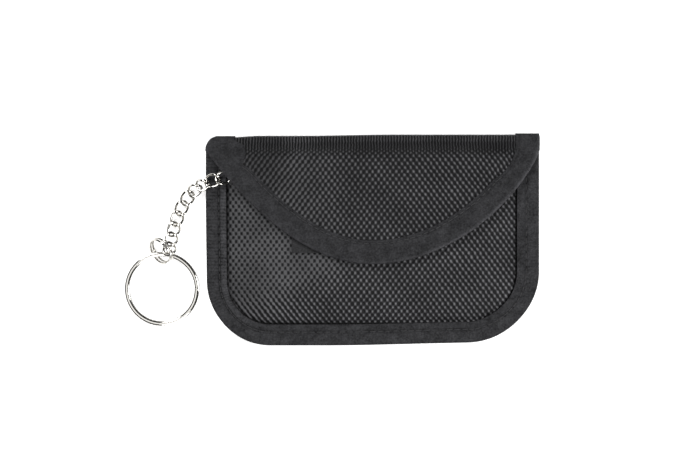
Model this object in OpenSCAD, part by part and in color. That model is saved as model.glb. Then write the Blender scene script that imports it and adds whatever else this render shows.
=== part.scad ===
// Signal-blocking key pouch of ballistic nylon, with a curved flap, a short curb chain and a split ring.
// It lies on its back. X runs along the fold, Y towards the fold, Z up through the thickness.
// The origin is the centre of the pouch, on the plane that it rests on.

/* [Pouch] */
// Width across the two side seams
pouch_w = 134; // [120:1:150]
// Height from the bottom seam to the fold
pouch_h = 84; // [78:1:94]
// Radius of the lower corner on the chain's side
corner_left = 25.5; // [18:0.5:30]
// Radius of the other lower corner
corner_right = 29; // [18:0.5:30]
// Clear height inside the shielded pocket
pocket_h = 4.9; // [4.8:0.1:6]
// Distance from the fold down to the mouth of the pocket
mouth_drop = 11; // [9:0.5:14]

/* [Cloth] */
// Thickness of the woven nylon outer
nylon_t = 0.65; // [0.5:0.05:0.8]
// Thickness of the metallised shield cloth
shield_t = 0.2; // [0.15:0.05:0.3]
// Thickness of the lining
lining_t = 0.2; // [0.15:0.05:0.3]
// Thickness of the binding tape
tape_t = 0.45; // [0.3:0.05:0.5]
// Width of the tape on each face of the pouch
edge_tape_w = 8.8; // [7:0.1:10]
// Width of the tape on each face of the flap
flap_tape_w = 9.5; // [7:0.1:10]

/* [Flap] */
// Depth of the flap from the fold to its lowest point
flap_depth = 51.5; // [45:0.5:55]
// Fullness of the flap's edge on the chain's side, where 1 is a parabola
flap_bow_left = 1; // [0.7:0.05:1.1]
// Fullness of the flap's edge on the other side
flap_bow_right = 0.8; // [0.7:0.05:1.1]

/* [Touch fastener] */
// Width of the loop strip on the front
loop_strip_w = 56; // [50:1:58]
// Height of the loop strip
loop_strip_h = 22; // [16:1:24]
// Width of the hook strip under the flap
hook_strip_w = 46; // [36:1:47]
// Height of the hook strip
hook_strip_h = 11; // [10:1:14]

/* [Chain and rings] */
// Diameter of the chain wire
chain_wire = 1.05; // [0.9:0.05:1.1]
// Distance from one link to the next
chain_pitch = 4.7; // [4.6:0.05:4.8]
// Half width of a link, along the middle of its wire
link_half_w = 2.35; // [2.3:0.05:2.4]
// Diameter of the small split ring, along the middle of its wire
connector_d = 10.4; // [10.2:0.1:10.6]
// Diameter of the key ring, along the middle of its wire
key_ring_d = 28.2; // [27:0.1:30]

/* [Hidden] */

nylon_black = "#2e2e30";
tape_black = "#38383a";
shield_grey = "#9a9a98";
lining_black = "#26262a";
hook_black = "#1f1f21";
nickel = "#c9c6c0";
$fn = 48;
eps = 0.01;
// Space between a tape and the cloth inside it
lay_gap = 0.05;

// Heights of the layers at the flat seam, upwards from the plane that the pouch rests on
cloth_t = nylon_t + shield_t + lining_t;
divider_t = shield_t + lining_t;
seam_back_z = tape_t + 0.2;
seam_front_z = seam_back_z + 2 * cloth_t + divider_t + 2 * lay_gap;
slip_gap = 0.5;
crown_z = 2 * cloth_t + lay_gap + slip_gap + divider_t + pocket_h;

// Where the pouch swells: a flat seam, then a rise over this distance
seam_w = 5.4;
back_rise_w = 8;
front_rise_w = 24;
slip_rise_w = 8;

half_w = pouch_w / 2;
fold_y = pouch_h / 2;
bottom_y = -pouch_h / 2;
mouth_y = fold_y - mouth_drop;
divider_drop = 5;
divider_y = mouth_y - divider_drop;
mouth_tape_w = 4.5;
divider_tape_w = 4;
cloth_edge = 1.2;

// Fold and hinge lines
fold_bulge = 0.53;
hinge_y = fold_y - fold_bulge - cloth_t / 2;
back_hinge_z = seam_back_z + cloth_t / 2;
hinge_rise = 3.95;
flap_hinge_z = back_hinge_z + hinge_rise;
hinge_gap = 0.25;
fold_tape_start = 0.75;
cloth_end_y = hinge_y - cloth_t / 2 - hinge_gap;
tape_end_gap = 0.5;
tape_end_y = cloth_end_y - tape_end_gap;
flap_root_z = flap_hinge_z - cloth_t / 2;

// Space between the flap and the front: room for the touch fastener, less of it by the fold
gap_at_fold = 1.4;
gap_at_fastener = 2.2;
gap_start = 1;
gap_rise_w = 14;
loop_t = 0.9;
hook_t = 0.85;
strip_gap = 0.12;
loop_strip_x = -4.5;
loop_strip_y = -5;
hook_strip_x = -1;
hook_strip_y = 7.6;

// Chain: where it starts, and each link's heading in plan, rise and roll in degrees, and twist in mm
chain_start = [-57.6, 25.6, 6.6];
link_heading = [190, 196, 206, 220, 235, 244, 252, 258, 262, 262];
link_rise = [0, -5, -32, -26.5, 0, 0, 10, 24, 32, 36];
link_roll = [0, 0, -25, -12, 0, 0, 0, 0, 0, 0];
link_twist = [0.4, 0.9, 0.9, 0.9, 0.9, 0.9, 0.9, 0.9, 0.9, 0.9];
link_count = len(link_heading);
link_gap = 0.4;
link_half_l = (chain_pitch + chain_wire + link_gap) / 2;
wire_rings = 24;
wire_sides = 6;

// Small split ring: two turns of round wire, standing on edge
connector_wire = 0.9;
connector_turns = 2;
connector_step = 1.35;
connector_heading = -54;
connector_tilt = 55;
connector_hold = 60;
connector_slack = 0.9;

// Key ring: two turns of flat wire, leaning on the small ring
key_wire_w = 1.8;
key_wire_t = 0.8;
key_turns = 2;
key_step = 1.25;
key_hold = -2;
key_side = 1;
key_tangent = 2;
key_floor_gap = 0.1;

function clamp(v, lo, hi) = min(max(v, lo), hi);
function smooth(v) = let (t = clamp(v, 0, 1)) t * t * (3 - 2 * t);
function mix(a, b, t) = a + (b - a) * t;
function unit(v) = v / norm(v);

// Distance inwards from the sides, the bottom and the round lower corners
function seam_distance(x, y) =
    let (
        r = x < 0 ? corner_left : corner_right,
        across = r - (half_w - abs(x)),
        down = r - (y - bottom_y)
    )
    across > 0 && down > 0 ? r - norm([across, down]) : min(half_w - abs(x), y - bottom_y);

function swell(s, w) = 1 - pow(1 - clamp((s - seam_w) / w, 0, 1), 2);

// The back lies on the table, and rises to the seams and to the fold
back_fold_rise_w = 9;
function back_z(x, y) =
    let (
        to_seam = 1 - smooth((seam_distance(x, y) - edge_tape_w) / back_rise_w),
        to_fold = smooth(1 - (cloth_end_y - y) / back_fold_rise_w)
    )
    seam_back_z * max(to_seam, to_fold);
function front_swell(x, y) = swell(seam_distance(x, y), front_rise_w);
function front_z(x, y) = mix(seam_front_z, crown_z, front_swell(x, y));
function divider_z(x, y) =
    back_z(x, y) + cloth_t + lay_gap + slip_gap * swell(seam_distance(x, y), slip_rise_w);

// The flap's edge: a bow that is straighter on the chain's side
flap_end_drop = 5.5;
flap_end_y = fold_y - flap_end_drop;
flap_tip_y = fold_y - flap_depth;
function flap_edge_y(x) =
    flap_end_y + (flap_tip_y - flap_end_y)
    * pow(1 - pow(clamp(abs(x) / half_w, 0, 1), 2), x < 0 ? flap_bow_left : flap_bow_right);

// Underside of the flap: over the front, lifted where the first link passes below, down to the fold
link_lift_h = 2.9;
link_lift_at = [-58, 24];
link_lift_spread = 90;
flap_fall_start = mouth_y + 1.5;
function link_lift(x, y) =
    link_lift_h * exp(-(pow(x - link_lift_at[0], 2) + pow(y - link_lift_at[1], 2)) / link_lift_spread);
function flap_z(x, y) =
    let (
        gap = mix(gap_at_fold, gap_at_fastener, smooth((mouth_y + gap_start - y) / gap_rise_w)),
        over_front = mix(seam_front_z, crown_z, swell(half_w - abs(x), front_rise_w)) + gap + link_lift(x, y)
    )
    mix(over_front, flap_root_z, smooth((y - flap_fall_start) / (cloth_end_y - flap_fall_start)));

// Columns of a sheet of cloth, close together at the seams
column_steps = [1.2, 2.2, 3.6, 5.4, 8.8, 13, 18, 24, 30, 40, 50, 60];
columns = concat(
    [for (s = column_steps) -half_w + s],
    [0],
    [for (i = [len(column_steps) - 1:-1:0]) half_w - column_steps[i]]
);
// Rows of a panel: the first ones follow the bottom seam round the corners, the others share out the rest
seam_rows = [cloth_edge, seam_w, edge_tape_w, 14, 21];
open_rows = 3;
panel_row_count = len(seam_rows) + open_rows;
row_least = 0.4;
function offset_y(x, s) =
    let (
        r = x < 0 ? corner_left : corner_right,
        across = r - (half_w - abs(x)),
        inner = r - s
    )
    across > 0 ? bottom_y + r - sqrt(max(0, inner * inner - across * across)) : bottom_y + s;
function panel_y(x, k, top) =
    let (last = len(seam_rows) - 1, seam_y = offset_y(x, seam_rows[min(k, last)]) + min(k, last) * row_least)
    mix(seam_y, top, max(0, k - last) / open_rows);

flap_rows = [0, 0.12, 0.25, 0.4, 0.55, 0.68, 0.78, 0.86, 0.93, 1];

// Two triangles for a four-sided face
function split(q) = [[q[0], q[1], q[2]], [q[0], q[2], q[3]]];

// A closed solid between two height functions, over columns xs, each with row_count points at y_at(x, row)
module sheet(xs, row_count, y_at, under, over) {
    n = row_count;
    m = len(xs);
    plan = [for (x = xs) for (k = [0:n - 1]) [x, y_at(x, k)]];
    bottom = [for (p = plan) [p[0], p[1], under(p[0], p[1])]];
    top = [for (p = plan) [p[0], p[1], over(p[0], p[1])]];
    function at(i, j) = i * n + j;
    up = len(plan);
    rim = concat(
        [for (i = [0:m - 1]) at(i, 0)],
        [for (j = [1:n - 1]) at(m - 1, j)],
        [for (i = [m - 2:-1:0]) at(i, n - 1)],
        [for (j = [n - 2:-1:1]) at(0, j)]
    );
    cells = [
        for (i = [0:m - 2]) for (j = [0:n - 2])
            [at(i, j), at(i + 1, j), at(i + 1, j + 1), at(i, j + 1)]
    ];
    polyhedron(
        points = concat(bottom, top),
        faces = concat(
            [for (c = cells) each split(c)],
            [for (c = cells) each split([up + c[0], up + c[3], up + c[2], up + c[1]])],
            [
                for (k = [0:len(rim) - 1])
                    let (a = rim[k], b = rim[(k + 1) % len(rim)])
                    each split([a, up + a, up + b, b])
            ]
        )
    );
}

// Faces between rings of n points, the last ring joined to the first where closed
function ring_faces(n, m, closed) = [
    for (i = [0:closed ? m - 1 : m - 2]) for (j = [0:n - 1])
        let (here = i * n, next = (i + 1) % m * n, k = (j + 1) % n)
        each split([here + j, next + j, next + k, here + k])
];

// A closed solid through rings of points, with a flat face at each end
module skin(rings) {
    n = len(rings[0]);
    m = len(rings);
    polyhedron(
        points = [for (r = rings) each r],
        faces = concat(
            [[for (j = [0:n - 1]) j]],
            ring_faces(n, m, false),
            [[for (j = [n - 1:-1:0]) (m - 1) * n + j]]
        )
    );
}

// A folded band through rings of points: the first half of each ring is the outer face, and the rest is
// the inner face the other way round
module band(rings) {
    n = len(rings[0]);
    m = len(rings);
    half = n / 2;
    last = (m - 1) * n;
    polyhedron(
        points = [for (r = rings) each r],
        faces = concat(
            ring_faces(n, m, false),
            [for (j = [0:half - 2]) each split([j, j + 1, n - 2 - j, n - 1 - j])],
            [for (j = [0:half - 2]) each split([last + j, last + n - 1 - j, last + n - 2 - j, last + j + 1])]
        )
    );
}

// A closed loop of tube through rings of points
module loop_skin(rings) {
    polyhedron(points = [for (r = rings) each r], faces = ring_faces(len(rings[0]), len(rings), true));
}

// A ring of points across a wire's path, w wide along side_dir and t along up_dir
function wire_ring(centre, side_dir, up_dir, w, t) = [
    for (j = [0:wire_sides - 1])
        let (a = -360 * (j + 0.5) / wire_sides)
        centre + side_dir * (cos(a) * w / 2) + up_dir * (sin(a) * t / 2)
];

// Cloth panels
module panel(top, under, over) {
    sheet(columns, panel_row_count, function(x, k) panel_y(x, k, top), under, over);
}

module back_sheet(lift, t) {
    panel(cloth_end_y, function(x, y) back_z(x, y) + lift, function(x, y) back_z(x, y) + lift + t);
}

module front_sheet(lift, t) {
    panel(mouth_y, function(x, y) front_z(x, y) - lift - t, function(x, y) front_z(x, y) - lift);
}

module flap_sheet(lift, t) {
    inner_half = half_w - cloth_edge;
    flap_columns = [for (x = columns) clamp(x, -inner_half, inner_half)];
    sheet(
        flap_columns, len(flap_rows),
        function(x, k) mix(flap_edge_y(x) + cloth_edge, cloth_end_y, flap_rows[k]),
        function(x, y) flap_z(x, y) + lift, function(x, y) flap_z(x, y) + lift + t
    );
}

module back_panel() {
    color(nylon_black) back_sheet(0, nylon_t);
}

module back_shield() {
    color(shield_grey) back_sheet(nylon_t, shield_t);
}

module back_lining() {
    color(lining_black) back_sheet(nylon_t + shield_t, lining_t);
}

module divider_panel() {
    color(shield_grey)
        panel(divider_y, function(x, y) divider_z(x, y), function(x, y) divider_z(x, y) + divider_t);
}

module front_panel() {
    color(nylon_black) front_sheet(0, nylon_t);
}

module front_shield() {
    color(shield_grey) front_sheet(nylon_t, shield_t);
}

module front_lining() {
    color(lining_black) front_sheet(nylon_t + shield_t, lining_t);
}

module flap_panel() {
    color(nylon_black) flap_sheet(lining_t + shield_t, nylon_t);
}

module flap_shield() {
    color(shield_grey) flap_sheet(lining_t, shield_t);
}

module flap_lining() {
    color(lining_black) flap_sheet(0, lining_t);
}

// Tape folded over the straight top edge of a cloth, between the two side tapes
side_tape_gap = 0.4;
module straight_binding(edge_y, w, t, under, over) {
    reach = half_w - edge_tape_w - side_tape_gap;
    xs = [for (x = columns) if (abs(x) < reach) x];
    ends = concat([-reach], xs, [reach]);
    band([
        for (x = ends) [
            [x, edge_y - w, under(x, edge_y - w) - t],
            [x, edge_y + t, under(x, edge_y) - t],
            [x, edge_y + t, over(x, edge_y) + t],
            [x, edge_y - w, over(x, edge_y - w) + t],
            [x, edge_y - w, over(x, edge_y - w) + lay_gap],
            [x, edge_y + lay_gap, over(x, edge_y) + lay_gap],
            [x, edge_y + lay_gap, under(x, edge_y) - lay_gap],
            [x, edge_y - w, under(x, edge_y - w) - lay_gap]
        ]
    ]);
}

module mouth_binding() {
    color(tape_black)
        straight_binding(
            mouth_y, mouth_tape_w, tape_t,
            function(x, y) front_z(x, y) - cloth_t, function(x, y) front_z(x, y)
        );
}

module divider_binding() {
    color(tape_black)
        straight_binding(
            divider_y, divider_tape_w, tape_t / 2,
            function(x, y) divider_z(x, y), function(x, y) divider_z(x, y) + divider_t
        );
}

// Edge binding: stations down one side, round the corners and up the other, each [point, inward direction]
corner_steps = 10;
function corner_stations(cx, r, from, to) = [
    for (i = [0:corner_steps])
        let (a = mix(from, to, i / corner_steps))
        [[cx + r * cos(a), bottom_y + r + r * sin(a)], [-cos(a), -sin(a)]]
];
side_low_y = 10;
above_mouth = [6.5, 5, 3.5, 2, 0.5];
side_ys = concat([tape_end_y], [for (h = above_mouth) mouth_y + h], [side_low_y]);
edge_stations = concat(
    [for (y = side_ys) [[-half_w, y], [1, 0]]],
    corner_stations(-half_w + corner_left, corner_left, 180, 270),
    corner_stations(half_w - corner_right, corner_right, 270, 360),
    [for (i = [len(side_ys) - 1:-1:0]) [[half_w, side_ys[i]], [-1, 0]]]
);

// Section of the edge tape as [distance in, height]: the outer face, then the face on the cloth.
// Above the mouth there is no front below it, so it comes down flat on the back.
mouth_fall_start = mouth_y + 0.5;
mouth_fall_w = 6;
edge_mid_z = (seam_back_z + seam_front_z) / 2;
tape_round = 0.35;
tape_round_z = 0.1;
inner_edge = 0.7;
inner_round = 0.1;
front_steps = [edge_tape_w, (edge_tape_w + seam_w) / 2, seam_w, cloth_edge];
function edge_front_z(s, y) =
    mix(seam_front_z, crown_z, swell(s, front_rise_w) * (1 - smooth((y - mouth_fall_start) / mouth_fall_w)));
function edge_section(y) = concat(
    [for (s = front_steps) [s, edge_front_z(s, y) + tape_t + (s > seam_w ? lay_gap : 0)]],
    [[tape_round, seam_front_z + tape_round_z], [0, edge_mid_z], [tape_round, seam_back_z - tape_round_z]],
    [for (s = [cloth_edge, edge_tape_w]) [s, seam_back_z - tape_t]],
    [for (s = [edge_tape_w, cloth_edge]) [s, seam_back_z - lay_gap]],
    [
        [inner_edge + inner_round, seam_back_z + inner_round],
        [inner_edge, edge_mid_z],
        [inner_edge + inner_round, seam_front_z - inner_round]
    ],
    [for (i = [len(front_steps) - 1:-1:0]) let (s = front_steps[i]) [s, edge_front_z(s, y) + lay_gap]]
);

module edge_binding() {
    color(tape_black)
        difference() {
            band([
                for (st = edge_stations)
                    let (p = st[0], d = st[1])
                    [for (q = edge_section(p[1])) [p[0] + d[0] * q[0], p[1] + d[1] * q[0], q[1]]]
            ]);
            front_sheet(-lay_gap, cloth_t);
            back_sheet(-lay_gap, cloth_t);
        }
}

// Flap binding: stations along the bowed edge
flap_station_xs = [for (a = [-90:7.5:90]) sin(a) * (half_w - eps)];
function flap_point(x) = [x, flap_edge_y(x)];
end_lean = 0.45;
end_w = 1;
slope_step = 0.2;
function flap_inward(x) =
    let (
        a = flap_point(clamp(x - slope_step, -half_w, half_w)),
        b = flap_point(clamp(x + slope_step, -half_w, half_w)),
        d = unit(b - a)
    )
    abs(x) > half_w - end_w ? unit([-sign(x), end_lean]) : [-d[1], d[0]];

// Section of the flap tape as [distance in, height above the cloth's underside], outer face first
flap_shares = [1, 0.65, 0.35];
flap_steps = concat([for (share = flap_shares) flap_tape_w * share], [cloth_edge]);
steps_out = [for (i = [len(flap_steps) - 1:-1:0]) flap_steps[i]];
flap_section = concat(
    [for (s = flap_steps) [s, cloth_t + tape_t]],
    [[tape_round, cloth_t + tape_round_z], [0, cloth_t / 2], [tape_round, -tape_round_z]],
    [for (s = steps_out) [s, -tape_t]],
    [for (s = flap_steps) [s, -lay_gap]],
    [
        [inner_edge + inner_round, inner_round],
        [inner_edge, cloth_t / 2],
        [inner_edge + inner_round, cloth_t - inner_round]
    ],
    [for (s = steps_out) [s, cloth_t + lay_gap]]
);

module flap_binding() {
    color(tape_black)
        difference() {
            band([
                for (x = flap_station_xs)
                    let (
                        p = flap_point(x),
                        d = flap_inward(x),
                        room = min(flap_tape_w, (tape_end_y - p[1]) / max(d[1], eps))
                    )
                    [
                        for (q = flap_section)
                            let (g = p + d * (q[0] * room / flap_tape_w))
                            [g[0], g[1], flap_z(g[0], g[1]) + q[1]]
                    ]
            ]);
            flap_sheet(-lay_gap / 2, cloth_t + lay_gap);
        }
}

// Fold: a flat half oval from the back's hinge line up to the flap's
fold_mid_z = (back_hinge_z + flap_hinge_z) / 2;
fold_half_z = (flap_hinge_z - back_hinge_z) / 2;
fold_angles = [-90:10:90];
function fold_arc(out, in_z) = [
    for (a = fold_angles) [(fold_bulge + out) * cos(a), (fold_half_z + in_z) * sin(a)]
];

module fold_section(inner, outer) {
    far = fold_arc(outer, outer);
    near = fold_arc(inner, inner);
    polygon(concat(far, [for (i = [len(near) - 1:-1:0]) near[i]]));
}

module along_fold(x0, x1) {
    translate([x0, hinge_y, fold_mid_z])
        rotate([90, 0, 90])
            linear_extrude(x1 - x0)
                children();
}

module fold_panel() {
    reach = half_w - cloth_edge;
    color(nylon_black)
        along_fold(-reach, reach)
            fold_section(cloth_t / 2 - nylon_t, cloth_t / 2);
}

module fold_lining() {
    reach = half_w - cloth_edge;
    color(lining_black)
        along_fold(-reach, reach)
            fold_section(-cloth_t / 2, cloth_t / 2 - nylon_t);
}

cut_over = 1;
module fold_binding(side) {
    inner_x = half_w - edge_tape_w;
    cloth_x = half_w - cloth_edge + eps;
    x0 = side < 0 ? -half_w : inner_x;
    x1 = side < 0 ? -inner_x : half_w;
    color(tape_black)
        difference() {
            along_fold(x0, x1) fold_section(-cloth_t / 2 - tape_t, cloth_t / 2 + tape_t);
            along_fold(side < 0 ? -cloth_x : x0 - cut_over, side < 0 ? x1 + cut_over : cloth_x)
                fold_section(-cloth_t / 2 - eps, cloth_t / 2 + eps);
            translate([x0 - cut_over, hinge_y - cut_over, 0])
                cube([x1 - x0 + 2 * cut_over, cut_over + fold_tape_start, crown_z * 2]);
        }
}

module fold_binding_left() {
    fold_binding(-1);
}

module fold_binding_right() {
    fold_binding(1);
}

// Touch fastener
strip_rows = 3;
strip_cells = 8;
function strip_columns(middle, w) = [for (i = [0:strip_cells]) middle + mix(-w / 2, w / 2, i / strip_cells)];

module loop_strip() {
    color(hook_black)
        sheet(
            strip_columns(loop_strip_x, loop_strip_w), strip_rows,
            function(x, k) loop_strip_y + loop_strip_h * k / (strip_rows - 1),
            function(x, y) front_z(x, y) + strip_gap, function(x, y) front_z(x, y) + loop_t
        );
}

module hook_strip() {
    color(hook_black)
        sheet(
            strip_columns(hook_strip_x, hook_strip_w), strip_rows,
            function(x, k) hook_strip_y + hook_strip_h * k / (strip_rows - 1),
            function(x, y) flap_z(x, y) - hook_t, function(x, y) flap_z(x, y) - strip_gap
        );
}

// Ribbon tab: a flat eye round the first link's end, with a tail sewn to the front
tab_w = 1.4;
tab_t = 0.3;
tab_eye_r = 1.05;
tab_tail_l = 8;
tab_tail_steps = 6;

module chain_tab() {
    eye = [chain_start[0] + link_half_l - chain_pitch / 2, chain_start[2]];
    tail = [
        for (i = [0:tab_tail_steps])
            let (x = eye[0] + tab_tail_l * i / tab_tail_steps)
            [x, i == 0 ? eye[1] - tab_eye_r - tab_t : front_z(x, chain_start[1]) + lay_gap]
    ];
    color(tape_black)
        translate([0, chain_start[1] + tab_w / 2, 0])
            rotate([90, 0, 0])
                linear_extrude(tab_w)
                    union() {
                        translate(eye)
                            difference() {
                                circle(tab_eye_r + tab_t);
                                circle(tab_eye_r);
                            }
                        polygon(concat(tail, [for (i = [tab_tail_steps:-1:0]) tail[i] + [0, tab_t]]));
                    }
}

// Chain links
function forward(i) =
    [cos(link_rise[i]) * cos(link_heading[i]), cos(link_rise[i]) * sin(link_heading[i]), sin(link_rise[i])];
function level_side(i) = [-sin(link_heading[i]), cos(link_heading[i]), 0];
function link_side(i) =
    cos(link_roll[i]) * level_side(i) + sin(link_roll[i]) * cross(forward(i), level_side(i));
function link_up(i) = cross(forward(i), link_side(i));
function hook_point(i) = i == 0 ? chain_start : hook_point(i - 1) + chain_pitch * forward(i - 1);
function link_place(i, p) =
    hook_point(i) + (chain_pitch / 2 + p[0]) * forward(i) + p[1] * link_side(i) + p[2] * link_up(i);
function link_curve(i, t) =
    link_place(i, [link_half_l * cos(t), link_half_w * sin(t), link_twist[i] * sin(2 * t)]);

module chain_link(i) {
    color(nickel)
        loop_skin([
            for (k = [0:wire_rings - 1])
                let (
                    t = 360 * k / wire_rings,
                    along = unit(link_curve(i, t + 1) - link_curve(i, t - 1)),
                    out = unit(cross(along, link_up(i))),
                    up = cross(out, along)
                )
                wire_ring(link_curve(i, t), out, up, chain_wire, chain_wire)
        ]);
}

// A coil of turns about an axis: each ring of points stands square to the coil's own path
function coil_rings(centre, a, b, r, step, turns, w, h) =
    let (axis = cross(a, b))
    [
        for (k = [0:turns * wire_rings])
            let (
                t = 360 * k / wire_rings,
                out = cos(t) * a + sin(t) * b,
                along = unit(step / (2 * PI * r) * axis - sin(t) * a + cos(t) * b),
                at = centre + r * out + axis * (step * (t / 360 - turns / 2))
            )
            wire_ring(at, out, cross(out, along), w, h)
    ];

// Least distance between the points of a coil's rings that are more than half a turn apart
function least_gap(rings) = min([
    for (i = [0:len(rings) - 1]) for (j = [i + wire_rings / 2:1:len(rings) - 1])
        min([for (p = rings[i]) for (q = rings[j]) norm(p - q)])
]);

// The small ring stands on edge, and the last link holds it at connector_hold round from its heading
connector_r = connector_d / 2;
chain_end = hook_point(link_count);
ring_hook = chain_end - connector_slack * forward(link_count - 1);
connector_a = [cos(connector_heading), sin(connector_heading), 0];
connector_b =
    cos(connector_tilt) * [-sin(connector_heading), cos(connector_heading), 0] + [0, 0, sin(connector_tilt)];
connector_centre =
    ring_hook - connector_r * (cos(connector_hold) * connector_a + sin(connector_hold) * connector_b);

connector_coil = coil_rings(
    connector_centre, connector_a, connector_b,
    connector_r, connector_step, connector_turns, connector_wire, connector_wire
);

module connector_ring() {
    color(nickel) skin(connector_coil);
}

// The key ring hangs in the small ring and leans down to the table
key_r = key_ring_d / 2;
key_thick = key_step + key_wire_t;
key_top = connector_centre + key_hold * connector_b + key_side * connector_a;
key_lean = asin((key_top[2] - key_thick / 2 - key_floor_gap) / (2 * key_r));
key_along = [cos(key_tangent), sin(key_tangent), 0];
key_down = [sin(key_tangent) * cos(key_lean), -cos(key_tangent) * cos(key_lean), -sin(key_lean)];
key_centre = key_top + key_r * key_down;
key_coil = coil_rings(
    key_centre, key_along, -key_down, key_r, key_step, key_turns, key_wire_w, key_wire_t
);

module key_ring() {
    color(nickel) skin(key_coil);
}

// Least gaps of the wound rings to themselves, measured on their points
echo(least_gap_connector = least_gap(connector_coil), least_gap_key_ring = least_gap(key_coil));
echo(back_hinge = [0, hinge_y, back_hinge_z], flap_hinge = [0, hinge_y, flap_hinge_z]);
echo(hooks = [for (i = [0:link_count]) hook_point(i)]);
// The small ring swings in the end of the last link, about a line that keeps both rings off the table
echo(ring_pivot = chain_end, ring_axis = unit([-0.47, 0.88, -1.6]));
echo(key_top = key_top, key_centre = key_centre, key_along = key_along);
echo(key_r = key_r, key_low_z = key_centre[2] - key_r * sin(key_lean));

// Clear box inside the shielded pocket, up to its mouth
pocket_inset = 26;
pocket_low_z = cloth_t + lay_gap + slip_gap + divider_t + tape_t / 2;
pocket_box_h = 4.05;
pocket_end_gap = 0.3;
pocket_box = [
    [-half_w + pocket_inset, bottom_y + pocket_inset, pocket_low_z],
    [half_w - pocket_inset, mouth_y - mouth_tape_w - pocket_end_gap, pocket_low_z + pocket_box_h]
];
echo(pocket_box = pocket_box);

back_panel();
back_shield();
back_lining();
divider_panel();
divider_binding();
front_lining();
front_shield();
front_panel();
mouth_binding();
edge_binding();
loop_strip();
chain_tab();
fold_panel();
fold_lining();
fold_binding_left();
fold_binding_right();
flap_panel();
flap_shield();
flap_lining();
flap_binding();
hook_strip();
chain_link(0);  // chain_link_01
chain_link(1);  // chain_link_02
chain_link(2);  // chain_link_03
chain_link(3);  // chain_link_04
chain_link(4);  // chain_link_05
chain_link(5);  // chain_link_06
chain_link(6);  // chain_link_07
chain_link(7);  // chain_link_08
chain_link(8);  // chain_link_09
chain_link(9);  // chain_link_10
connector_ring();
key_ring();
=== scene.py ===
# Signal-blocking key pouch: the cloth, tape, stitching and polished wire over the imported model.
# Sizes are in millimetres until a point is placed, and MM turns them to metres.
import math

import bpy
from mathutils import Matrix, Vector


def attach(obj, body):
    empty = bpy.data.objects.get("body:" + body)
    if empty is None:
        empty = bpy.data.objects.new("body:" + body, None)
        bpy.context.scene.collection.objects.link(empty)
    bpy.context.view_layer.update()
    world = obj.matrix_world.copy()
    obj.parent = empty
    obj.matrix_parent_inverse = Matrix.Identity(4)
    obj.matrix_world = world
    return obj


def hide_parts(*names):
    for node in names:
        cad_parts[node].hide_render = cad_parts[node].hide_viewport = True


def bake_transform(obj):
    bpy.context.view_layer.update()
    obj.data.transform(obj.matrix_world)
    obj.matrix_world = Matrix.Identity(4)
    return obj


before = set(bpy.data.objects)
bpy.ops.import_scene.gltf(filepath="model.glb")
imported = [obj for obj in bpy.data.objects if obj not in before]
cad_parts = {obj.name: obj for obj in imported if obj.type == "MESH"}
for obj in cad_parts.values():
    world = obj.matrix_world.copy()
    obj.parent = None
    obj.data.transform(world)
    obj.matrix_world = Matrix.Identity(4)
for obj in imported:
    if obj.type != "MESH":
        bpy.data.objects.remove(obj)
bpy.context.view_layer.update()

MM = 0.001

# Pouch, repeated from the part's source
HALF_W = 67
FOLD_Y = 42
BOTTOM_Y = -42
CORNER_LEFT = 25.5
CORNER_RIGHT = 29
NYLON_T = 0.65
SHIELD_T = 0.2
LINING_T = 0.2
TAPE_T = 0.45
EDGE_TAPE_W = 8.8
FLAP_TAPE_W = 9.5
LAY_GAP = 0.05
CLOTH_T = NYLON_T + SHIELD_T + LINING_T
DIVIDER_T = SHIELD_T + LINING_T
SEAM_BACK_Z = TAPE_T + 0.2
SEAM_FRONT_Z = SEAM_BACK_Z + 2 * CLOTH_T + DIVIDER_T + 2 * LAY_GAP
SLIP_GAP = 0.5
POCKET_H = 4.9
CROWN_Z = 2 * CLOTH_T + LAY_GAP + SLIP_GAP + DIVIDER_T + POCKET_H
SEAM_W = 5.4
FRONT_RISE_W = 24
SLIP_RISE_W = 8
BACK_RISE_W = 8
FOLD_RISE_W = 9
MOUTH_Y = FOLD_Y - 11
DIVIDER_Y = MOUTH_Y - 5
CLOTH_EDGE = 1.2

# Fold and flap
FOLD_BULGE = 0.53
HINGE_Y = FOLD_Y - FOLD_BULGE - CLOTH_T / 2
BACK_HINGE_Z = SEAM_BACK_Z + CLOTH_T / 2
FLAP_HINGE_Z = BACK_HINGE_Z + 3.95
CLOTH_END_Y = HINGE_Y - CLOTH_T / 2 - 0.25
FLAP_ROOT_Z = FLAP_HINGE_Z - CLOTH_T / 2
FLAP_END_Y = FOLD_Y - 5.5
FLAP_TIP_Y = FOLD_Y - 51.5
FOLD_MID_Z = (BACK_HINGE_Z + FLAP_HINGE_Z) / 2
FOLD_HALF_Z = (FLAP_HINGE_Z - BACK_HINGE_Z) / 2
FOLD_TOP_Y = FOLD_Y + TAPE_T + 0.1
FOLD_CORNER_R = 6
GAP_AT_FOLD = 1.4
GAP_AT_FASTENER = 2.2
GAP_RUN = 14
BOW_LEFT = 1
BOW_RIGHT = 0.8
ROLL_Y = 33
ROLL_RUN = 5

# Where the chain comes out from under the flap, how far it lifts the flap there, and over what area
LIFT_X = -58
LIFT_Y = 24
LIFT_H = 2.9
LIFT_SPREAD = 90

# How far the sewn pouch strays from square
CLIMB = 1.2
SAG = 0.5
LEAN = 0.5
SPREAD = 0.45

# Tapes and stitches: how much of a tape shows, and how far in its stitch line runs
TAPE_SEAM_GAP = 0.02
EDGE_SHOWN_LEFT = 8.2
EDGE_SHOWN_RIGHT = 9.0
EDGE_STITCH_IN = 5.3
FLAP_STITCH_IN = 8.2
FLAP_END_W = 15.6
MOUTH_TAPE_W = 4.5
DIVIDER_TAPE_W = 4
STITCH_PITCH = 3.1
STITCH_L = 0.82 * STITCH_PITCH
STITCH_W = 0.42
STITCH_SUNK = 0.3

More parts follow.
